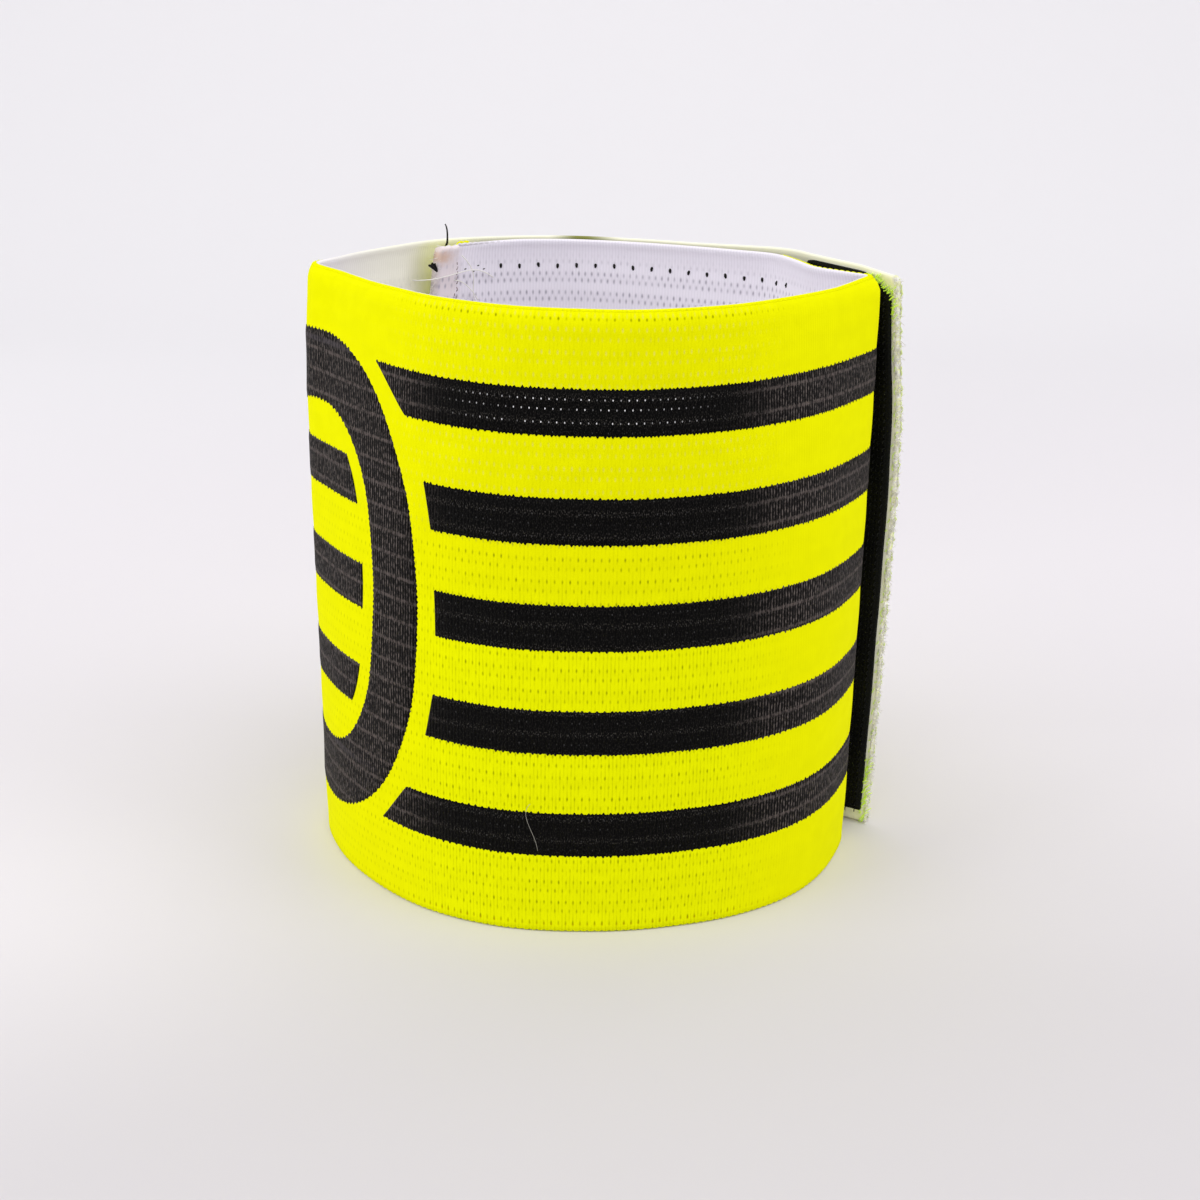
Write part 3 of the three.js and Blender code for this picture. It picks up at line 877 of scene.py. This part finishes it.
def stripe_patches(bottom, top, start_bottom, start_top):
    """The patches of one stripe: outside the ring on its right and left, and inside it where it is wide."""
    def beside(height):
        return start_bottom + (start_top - start_bottom) * (height - bottom) / (top - bottom)

    found = [patch(constant(STRIPES_FROM), beside, bottom, top),
             patch(lambda height: 2 * RING_CENTRE[0] - beside(height), constant(STRIP_LENGTH - FLAP_MARGIN),
                   bottom, top)]
    inside = RING_INNER - RING_GAP
    if min(oval_reach(inside, np.array([bottom, top]))) > RING_GAP:
        found.append(patch(lambda height: RING_CENTRE[0] - oval_reach(inside, height),
                           lambda height: RING_CENTRE[0] + oval_reach(inside, height), bottom, top))
    return found


rng = np.random.default_rng(12)
for number, stripe in enumerate(STRIPES):
    found = stripe_patches(*stripe)
    points, faces, _ = joined([(p, f) for p, f, _ in found])
    make_piece(f"stripe_{number + 1}", points, faces, [black],
               strip_mm=np.concatenate([place for _, _, place in found]))
points, faces, place = ring_patch()
make_piece("oval_ring", points, faces, [black], strip_mm=place)

# %% [markdown]
# ## Selvedge
# The long edges of the strip are looped back by the machine, which makes a row of tiny bumps: yellow along
# the outer face and white along the inner one, set over by half a bump. Each is a cord whose height swings
# with the same pitch as the knit's gaps. Behind, the yellow one lies a little further in, except in one short
# place beside the hem.

# %% Selvedge cords
CORD_RADIUS = 0.26
BUMP = 0.2
FAR_CORD_DROP = 0.45
# Length along the strip, and the share of the drop that the outer cord has there.
DROP_SHARES = np.array([(3.0, 1.0), (3.3, 0.0), (5.2, 0.0), (5.5, 1.0), (57.0, 1.0), (60.0, 0.0),
                        (195.0, 0.0), (205.0, 1.0)])
STEPS_A_BUMP = 4


def selvedge(level, off, phase):
    """Cord along a long edge: its height swings by the size of a bump, as the size of a sine."""
    length = np.arange(HEM_LENGTH + 0.3, STRIP_LENGTH - 0.3, GAP_PITCH / STEPS_A_BUMP)
    swing = np.abs(np.sin(np.pi * (length / GAP_PITCH + phase)))
    inwards = 1 if level > BAND_HEIGHT / 2 else -1
    level = level - inwards * FAR_CORD_DROP * np.interp(length, *DROP_SHARES.T) * (off > 0)
    return wall(length, level + inwards * BUMP * swing, off), strip_place(length, level + 0 * length)


SELVEDGES = [
    (BAND_HEIGHT - 0.4, HALF - 0.28, 0.0),
    (0.5, HALF - 0.24, 0.0),
    (BAND_HEIGHT - 0.62, -HALF + 0.3, 0.5),
    (0.5, -HALF + 0.3, 0.5),
]
cords, places = [], []
for level, off, phase in SELVEDGES:
    path, where = selvedge(level, off, phase)
    cords.append(threads(path[None], CORD_RADIUS))
    places.append(np.repeat(where, 6, axis=0))
points, faces, counts = joined(cords)
make_piece("selvedge", points, faces, [yellow, undyed_yarn],
           strip_mm=np.concatenate(places), face_material=np.repeat([0, 0, 1, 1], counts))

# %% [markdown]
# ## Threads
# All the sewing and the loose ends are the same few yarns. Each stitch is a short round thread that dives
# into the cloth at both ends, and the many stitches of a seam are one array of paths.

# %% Thread materials
def plain_thread(name, colour, roughness=0.6, gloss=0.2):
    """The material of a yarn of one colour."""
    return new_material(name, Base_Color=linear(colour), Roughness=roughness, Specular_IOR_Level=gloss)[0]


black_thread = plain_thread("black sewing thread", "#141210")
white_thread = plain_thread("undyed polyester filament", "#F6F4EC")
# The thread's faint glow is painted light for its fluorescent dye.
neon_thread, _, _ = new_material(
    "fluorescent green sewing thread", Base_Color=linear("#DEFD62"), Roughness=0.8, Specular_IOR_Level=0.05,
    Emission_Color=linear("#C8FF30"), Emission_Strength=0.1)
fuzzed_thread = plain_thread("fluorescent thread under pale fuzz", "#E4F2A6", 0.9, 0.05)
hair_material = plain_thread("stray fibre", "#A5A398", 0.4)


def stitches(length, height, off, along_strip, up, dip=0.35, points=5):
    """Paths of short stitches centred on given places: each runs along_strip and up by those amounts, and
    sinks into the cloth by dip at both ends as the square of the distance from its middle."""
    t = np.linspace(-1, 1, points)
    length, height, off, along_strip, up = (np.asarray(x, float)[:, None] for x in np.broadcast_arrays(
        length, height, off, along_strip, up))
    side = np.sign(off)
    return wall(length + along_strip * t / 2, height + up * t / 2, off - side * dip * t ** 2)


# %% [markdown]
# ## Hook tape
# The hook half of the fastener is a firm nylon tape on the inner face of the flap's end. It is seen past the
# right fold as a black band with a rough face: rows of small hooks, each a thread that rises from the tape
# and bends over, every second column the other way. Only the stretch that stands free has its hooks drawn.

# %% Hook tape
TAPE_BOTTOM, TAPE_TOP = 2.4, BAND_HEIGHT - 0.8
HOOK_TO = STRIP_LENGTH - 0.8
HOOK_FROM = HOOK_TO - 60.0
HOOKS_FROM = HOOK_TO - 27.0
HOOK_STEP_ALONG, HOOK_STEP_UP = 0.85, 1.15
CORNER_CUT, CORNER_LENGTH = 2.5, 5.5
TAPE_TUCK = np.array([(291.6, 1.1), (293.0, 0.0)])
HOOK_BEND = np.array([(0.0, -0.1), (0.03, 0.28), (0.12, 0.5), (0.32, 0.58), (0.46, 0.42)])
SQUARE_RIM = [(0.0, 0.7), (0.12, 1.0)]


def tape_material(name, colour):
    """Woven nylon tape: a basket of fine bumps, two sines across each other."""
    material, tree, shader = new_material(name, Base_Color=linear(colour), Roughness=0.75,
                                          Specular_IOR_Level=0.12)
    place = strip_coordinates(tree)
    bumps = [add(tree, "TexWave", {"Vector": place, "Scale": math.pi / 10 / 0.6}, wave_type="BANDS",
                 bands_direction=direction).outputs["Fac"] for direction in "XY"]
    relief = add(tree, "Math", {0: bumps[0], 1: bumps[1]}, operation="MULTIPLY").outputs[0]
    bump = add(tree, "Bump", {"Distance": 0.1 * MM, "Height": relief}).outputs[0]
    tree.links.new(bump, shader.inputs["Normal"])
    return material


black_tape = tape_material("black nylon tape", "#0D0E0A")
black_monofilament = plain_thread("black nylon monofilament", "#11120C", 0.5, 0.2)


def hook_drop(length):
    """The tape's upper corner at the flap's end is cut off at a slant, so the top edge drops there. Where
    the layers lie on each other the tape's edge is tucked a little lower."""
    corner = CORNER_CUT * np.clip((length - HOOK_TO + CORNER_LENGTH) / CORNER_LENGTH, 0, 1) ** 1.3
    return corner + np.interp(length, *TAPE_TUCK.T)


points, faces, _, place = cloth_sheet(np.arange(HOOK_FROM, HOOK_TO + 0.1, 1.0), TAPE_BOTTOM, TAPE_TOP,
                                      constant(-HALF - 0.06), constant(-HALF - 0.75), SQUARE_RIM, hook_drop)
hook_tape = make_piece("hook_tape_base", points, faces, [black_tape], strip_mm=place)
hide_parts("hook_strip")

u, v = np.meshgrid(np.arange(HOOKS_FROM, HOOK_TO - 0.3, HOOK_STEP_ALONG),
                   np.arange(TAPE_BOTTOM + 0.5, TAPE_TOP - 0.3, HOOK_STEP_UP), indexing="ij")
facing = np.where(np.arange(len(u)) % 2 == 0, 1.0, -1.0)[:, None] * np.ones(v.shape)
u, v, facing = u.ravel()[:, None], (v + facing * HOOK_STEP_UP / 4).ravel()[:, None], facing.ravel()[:, None]
v = v - hook_drop(u) * (v / TAPE_TOP) ** 10
u, v = u + rng.normal(0, 0.08, u.shape), v + rng.normal(0, 0.08, v.shape)
hooks = wall(u, v + facing * HOOK_BEND[:, 0], -HALF - 0.75 - HOOK_BEND[:, 1])
points, faces = threads(hooks, 0.1, sides=3)
make_piece("hooks", points, faces, [black_monofilament])

# %% [markdown]
# ## Loop tape
# The loop half lies between the layers, on the outside of the inner end, and little of it is seen: a dark
# fuzzy edge from above. Its pile is a tangle of small arches, drawn only along the tape's border, each an
# arch of thread standing at a random turn.

# %% Loop tape
LOOP_FROM, LOOP_TO = 7.0, 67.0
PILE_BORDER = 4.0
PILE_STEP = 0.9
points, faces, _, place = cloth_sheet(np.arange(LOOP_FROM, LOOP_TO + 0.1, 1.0), TAPE_BOTTOM, TAPE_TOP,
                                      constant(HALF + 0.75), constant(HALF + 0.06), SQUARE_RIM, constant(0.0))
loop_tape = make_piece("loop_tape_base", points, faces, [black_tape], strip_mm=place)
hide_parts("loop_strip")

u, v = (x.ravel() for x in np.meshgrid(np.arange(LOOP_FROM + 0.4, LOOP_TO - 0.2, PILE_STEP),
                                       np.arange(TAPE_BOTTOM + 0.4, TAPE_TOP - 0.2, PILE_STEP)))
inset = np.minimum.reduce([u - LOOP_FROM, LOOP_TO - u, v - TAPE_BOTTOM, TAPE_TOP - v])
u, v = u[inset < PILE_BORDER][:, None], v[inset < PILE_BORDER][:, None]
u, v = u + rng.normal(0, 0.2, u.shape), v + rng.normal(0, 0.2, v.shape)
arch = np.linspace(0.1, np.pi - 0.1, 5)
heading = rng.uniform(0, np.pi, u.shape)
span, rise = rng.uniform(0.25, 0.5, u.shape), rng.uniform(0.25, 0.5, u.shape)
pile = wall(u + span * np.cos(arch) * np.cos(heading), v + span * np.cos(arch) * np.sin(heading),
            HALF + 0.7 + rise * np.sin(arch))
points, faces = threads(pile, 0.06, sides=3)
make_piece("loop_pile", points, faces, [black_monofilament])

# %% [markdown]
# ## Seam of the loop tape
# The loop tape on the outside of the inner end is sewn through the elastic, so its seam shows on the white
# face: a black stitch every few millimetres along the tape's top, its bottom and its far end. The machine
# starts with a few short back stitches beside the hem, and these are untidy.

# %% Loop tape seam
SEAM_STEP = 3.22
SEAM_INSET = 4.3
STITCH_RADIUS = 0.25
STITCH_TAPER = np.array([0.35, 0.7, 1.0, 1.0, 0.6])
row = np.arange(10.9, 63.5, SEAM_STEP)
column = np.arange(SEAM_INSET + SEAM_STEP, BAND_HEIGHT - SEAM_INSET - 1.0, SEAM_STEP)
seam_length = np.concatenate([row, row, np.full(len(column), LOOP_TO - 1.6)])
seam_height = np.concatenate([np.full(len(row), BAND_HEIGHT - SEAM_INSET), np.full(len(row), SEAM_INSET),
                              column])
seam_height = seam_height + rng.normal(0, 0.1, len(seam_height))
seam_lean = rng.normal(0, 0.12, len(seam_height))
punched = stitches(seam_length, seam_height, -HALF - 0.02, seam_lean, 0.95, dip=0.3)
punched_radius = np.broadcast_to(STITCH_RADIUS * STITCH_TAPER, punched.shape[:2])
back_length = np.array([4.6, 6.1, 6.9, 7.9])
back_height = BAND_HEIGHT - SEAM_INSET + np.array([-0.1, -0.6, 0.3, -0.3])
backed = stitches(back_length, back_height, -HALF - 0.02, 0.5, 0.1, dip=0.25)
seam_parts = joined([threads(punched, punched_radius), threads(backed, 0.1)])
make_piece("loop_tape_seam", seam_parts[0], seam_parts[1], [black_thread])

# %% [markdown]
# ## Hook tape seam
# The hook tape is sewn on with fluorescent thread: on the yellow face a plain row of stitches round the
# tape's border, and on the inner face a zigzag over the tape's edge. At the flap's corners the zigzag has
# been sewn over several times, and its loops stand up in a tangle.

# %% Hook tape seam
ZIGZAG_STEP = 1.7
PLAIN_INSET = 1.2
PLAIN_STITCH = 2.5
row = np.arange(HOOK_FROM + 2.0, HOOK_TO - 1.0, SEAM_STEP)
column = np.arange(TAPE_BOTTOM + 3.0, TAPE_TOP - 1.0, SEAM_STEP)
plain_length = np.concatenate([row, row, np.full(len(column), HOOK_FROM + PLAIN_INSET),
                               np.full(len(column), HOOK_TO - PLAIN_INSET)])
plain_height = np.concatenate([np.full(len(row), TAPE_TOP - PLAIN_INSET),
                               np.full(len(row), TAPE_BOTTOM + PLAIN_INSET), column, column])
is_row = np.arange(len(plain_length)) < 2 * len(row)
plain = stitches(plain_length, plain_height, HALF + 0.05, np.where(is_row, PLAIN_STITCH, 0.1),
                 np.where(is_row, 0.1, PLAIN_STITCH), dip=0.3)


def zigzag(length, height, off, wide, tangle, copies=1):
    """Paths of a zigzag that follows given places: at each there is one slanted thread, as wide as asked,
    bowed off the cloth. Each copy is moved and turned a little by the tangle."""
    length, height = np.repeat(length, copies), np.repeat(height, copies)
    count = len(length)
    t = np.linspace(-1, 1, 6)
    slant = rng.normal(0, tangle, (count, 1))
    bow = np.abs(rng.normal(0.1, 0.25 * tangle, (count, 1))) * (1 - t ** 2)
    moved = rng.normal(0, 0.35 * tangle, (2, count, 1))
    return wall(length[:, None] + moved[0] + wide * t / 2 + slant * t ** 2 * 0.5,
                height[:, None] + moved[1] + (ZIGZAG_STEP / 2 + slant) * t / 2, off + np.sign(off) * bow)


end_height = np.arange(1.0, BAND_HEIGHT - 1.0, ZIGZAG_STEP)
corner_height = np.concatenate([np.linspace(0.8, 11, 14), np.linspace(BAND_HEIGHT - 6, BAND_HEIGHT - 2.5, 6)])
top_length = np.arange(STRIP_LENGTH - CORNER_LENGTH, STRIP_LENGTH - 0.6, 0.55)
top_height = BAND_HEIGHT - 0.6 - hook_drop(top_length)
neon_parts = joined([
    threads(plain, 0.15),
    threads(zigzag(np.full(len(end_height), STRIP_LENGTH - 0.3), end_height, -HALF - 0.05, 0.35, 0.3), 0.06),
    threads(zigzag(np.full(len(corner_height), STRIP_LENGTH - 0.4), corner_height, -HALF - 0.15, 0.8, 0.8, 2),
            0.07),
    threads(zigzag(top_length, top_height - 0.5, -HALF - 0.3, 0.8, 0.7, 5), 0.07)])
make_piece("hook_tape_seam", neon_parts[0], neon_parts[1], [neon_thread])

# %% [markdown]
# ## Cut ends
# The strip's two cut ends are sealed only by a line of stitches. Short ends of the white filament stand out
# of both, and a thin fluorescent thread runs down the flap's outer corner, in and out of the fuzz.

# %% Frayed ends
def fibres(count, end_length, outwards, low_off, high_off, longest):
    """Paths of short fibres that start anywhere on a cut end and run out of it, each bending its own way:
    the shift sideways grows with the square of the distance run."""
    t = np.linspace(0, 1, 4)
    reach = longest * rng.uniform(0.25, 1.0, (count, 1)) ** 1.5
    height = rng.uniform(0.3, BAND_HEIGHT - 0.3, (count, 1))
    off = rng.uniform(low_off, high_off, (count, 1))
    bend = rng.normal(0, 0.7, (2, count, 1)) * reach
    return wall(end_length - outwards * 0.15 + outwards * reach * t, height + bend[0] * t ** 2,
                off + bend[1] * t ** 2)


edge_height = np.linspace(0.6, BAND_HEIGHT - 0.6, 240)
edge_waver = 0.14 * np.sin(edge_height * 2.1) + 0.1 * np.sin(edge_height * 5.7 + 1)
edge_cord = wall(STRIP_LENGTH + edge_waver, edge_height, HALF - 0.1 + 0.5 * edge_waver)
points, faces = threads(edge_cord[None], 0.13)
make_piece("flap_edge_thread", points, faces, [fuzzed_thread])

fuzz = joined([
    threads(fibres(2200, STRIP_LENGTH, 1, -HALF - 0.5, HALF, 0.7), 0.055, sides=3),
    threads(fibres(420, -END_OVERHANG, -1, -HALF - HEM_THICKNESS, HALF, 0.8), 0.055, sides=3)])
make_piece("frayed_ends", fuzz[0], fuzz[1], [white_thread])

# %% [markdown]
# ## Loose ends
# Where the seam begins, at the top of the inner end, the threads were cut off long: three pale ones lie
# across the cloth, a clump of black ones sticks out past the hem, and one black end stands above the rim.

# %% Loose ends
def curve_through(corners, points=14):
    """Smooth thread through a few (length, height, off) places: each coordinate is a polynomial through
    all of them, with as many terms as places."""
    corners = np.asarray(corners, float)
    at = np.linspace(0, 1, len(corners))
    t = np.linspace(0, 1, points)
    return np.stack([np.polyval(np.polyfit(at, axis, len(corners) - 1), t) for axis in corners.T], axis=-1)


STANDING_END = [(0.9, 88.0, 0.2), (0.9, 90.6, 0.2), (0.8, 92.0, 0.2), (0.45, 92.9, 0.2)]
PALE_ENDS = [
    [(-5.0, 84.6, -0.7), (0.5, 85.0, -2.1), (5.0, 85.6, -1.9), (9.5, 84.0, -0.9)],
    [(3.0, 88.0, -1.8), (5.6, 84.5, -1.6), (6.0, 81.5, -1.0), (8.5, 78.0, -0.8)],
    [(2.0, 84.2, -1.8), (4.5, 83.0, -1.9), (7.0, 80.0, -1.2), (7.5, 76.5, -0.8)],
]
count = 7
t = np.linspace(0, 1, 7)
fan = rng.normal(0, 1, (3, count, 1))
clump = wall(-0.7 - (1.3 + 0.2 * fan[0]) * t, 85.7 + (1.2 + 0.25 * fan[1]) * t, -1.0 + 0.3 * fan[2] * t)
standing = wall(*curve_through(STANDING_END).T)
points, faces, _ = joined([threads(clump, 0.17), threads(standing[None], np.linspace(0.2, 0.1, 14)[None])])
make_piece("black_loose_ends", points, faces, [black_thread])
pale = np.stack([wall(*curve_through(corners).T) for corners in PALE_ENDS])
points, faces = threads(pale, 0.08)
make_piece("pale_loose_ends", points, faces, [white_thread])

# %% [markdown]
# ## Hem stitches
# The hem at the inner end is held by a column of short stitches, brown where the glue has reached them.

# %% Hem stitches
hem_height = np.arange(1.2, BAND_HEIGHT - 3.0, 0.8)
hem_height = hem_height + rng.normal(0, 0.15, len(hem_height))
hem_length = HEM_LENGTH - 0.2 + rng.normal(0, 0.25, len(hem_height))
hem = stitches(hem_length, hem_height, -HALF - HEM_THICKNESS - 0.02,
               rng.normal(0.3, 0.2, len(hem_height)), 0.6, dip=0.25)
points, faces = threads(hem, 0.09)
make_piece("hem_stitches", points, faces, [plain_thread("glue-stained thread", "#9A8B88")])

# %% [markdown]
# ## Stray hair
# One thin fibre lies across the upper edge of the lowest stripe at the front.

# %% Stray hair
HAIR = [(145.2, 20.5, HALF + 0.25), (145.7, 18.5, HALF + 0.5), (144.9, 16.0, HALF + 0.35),
        (144.1, 13.2, HALF + 0.25)]
points, faces = threads(wall(*curve_through(HAIR).T)[None], 0.035, sides=4)
make_piece("stray_hair", points, faces, [hair_material])

# %% [markdown]
# ## Stage
# The stage is a sheet of pale paper that runs back and sweeps up into a wall, so no line shows behind the
# object. Light and shade are painted on the paper: darker at the front, it grows lighter towards the back,
# and sooner on the left than on the right.

# %% Stage
PAPER_FRONT, PAPER_BACK, PAPER_SWEEP, PAPER_TOP, PAPER_HALF = -1500.0, 380.0, 400.0, 1500.0, 2500.0
PAPER_SKEW = 0.6
turn = np.linspace(0, np.pi / 2, 24)
profile = np.concatenate([
    [(PAPER_FRONT, 0.0)],
    np.stack([PAPER_BACK + PAPER_SWEEP * np.sin(turn), PAPER_SWEEP * (1 - np.cos(turn))], axis=1),
    [(PAPER_BACK + PAPER_SWEEP, PAPER_TOP)]])
across = np.array([-PAPER_HALF, 0, PAPER_HALF])
paper_points = np.stack([np.broadcast_to(across[:, None], (3, len(profile))),
                         np.broadcast_to(profile[:, 0], (3, len(profile))),
                         np.broadcast_to(profile[:, 1], (3, len(profile)))], axis=-1)
paper_mesh = bpy.data.meshes.new("paper_sweep")
paper_mesh.from_pydata((paper_points.reshape(-1, 3) * MM).tolist(), [],
                       grid_faces(3, len(profile))[:, ::-1].tolist())
paper_mesh.polygons.foreach_set("use_smooth", np.ones(len(paper_mesh.polygons), bool))
paper = bpy.data.objects.new("paper_sweep", paper_mesh)
bpy.context.scene.collection.objects.link(paper)
paper_material, paper_tree, paper_shader = new_material("matt background paper", Roughness=0.7,
                                                        Specular_IOR_Level=0.2)
place = add(paper_tree, "TexCoord").outputs["Object"]
rightwards, back = add(paper_tree, "SeparateXYZ", {0: place}).outputs[0:2]
leftwards = math_node(paper_tree, "MINIMUM", rightwards, 0.0)
where = math_node(paper_tree, "SUBTRACT", back, math_node(paper_tree, "MULTIPLY", leftwards, PAPER_SKEW))
# Painted shade at the front, then each lighter painted tone with the distances back over which it takes over.
PAPER_FRONT_SHADE = "#D2CFD1"
PAPER_PAINTED_LIGHT = [("#E6E3E5", -60, 40), ("#EEEDEE", 150, 500)]
paper_colour = linear(PAPER_FRONT_SHADE)
for tone, start, end in PAPER_PAINTED_LIGHT:
    reached = add(paper_tree, "MapRange", {"Value": where, "From Min": start * MM, "From Max": end * MM},
                  interpolation_type="SMOOTHSTEP").outputs[0]
    paper_colour = add(paper_tree, "Mix", {0: reached, 6: paper_colour, 7: linear(tone)},
                       data_type="RGBA").outputs[2]
paper_tree.links.new(paper_colour, paper_shader.inputs["Base Color"])
paper_mesh.materials.append(paper_material)
print("paper_sweep:", len(paper_mesh.vertices), "points")

# %% [markdown]
# ## Light
# Two broad lamps stand left and right of the camera and one hangs above, and the pale room fills in.

# %% Lights
LAMPS = {
    "left_softbox": dict(place=(-740, -300, 400), size=0.5, power=2.5),
    "right_softbox": dict(place=(720, -240, 420), size=0.5, power=1.4),
    "top_softbox": dict(place=(120, -160, 800), size=0.8, power=2.6),
}
AIM = (0, 0, 45)
for name, lamp in LAMPS.items():
    light = bpy.data.lights.new(name, "AREA")
    light.size, light.energy = lamp["size"], lamp["power"]
    holder = bpy.data.objects.new(name, light)
    bpy.context.scene.collection.objects.link(holder)
    holder.location = [x * MM for x in lamp["place"]]
    holder.rotation_euler = (Vector(AIM) - Vector(lamp["place"])).to_track_quat("-Z", "Y").to_euler()

world = bpy.data.worlds.new("room")
bpy.context.scene.world = world
world.use_nodes = True
world.node_tree.nodes["Background"].inputs["Color"].default_value = linear("#F4F2F7")
world.node_tree.nodes["Background"].inputs["Strength"].default_value = 0.75
bpy.context.scene.view_settings.view_transform = "Standard"
print("lamps:", list(LAMPS))
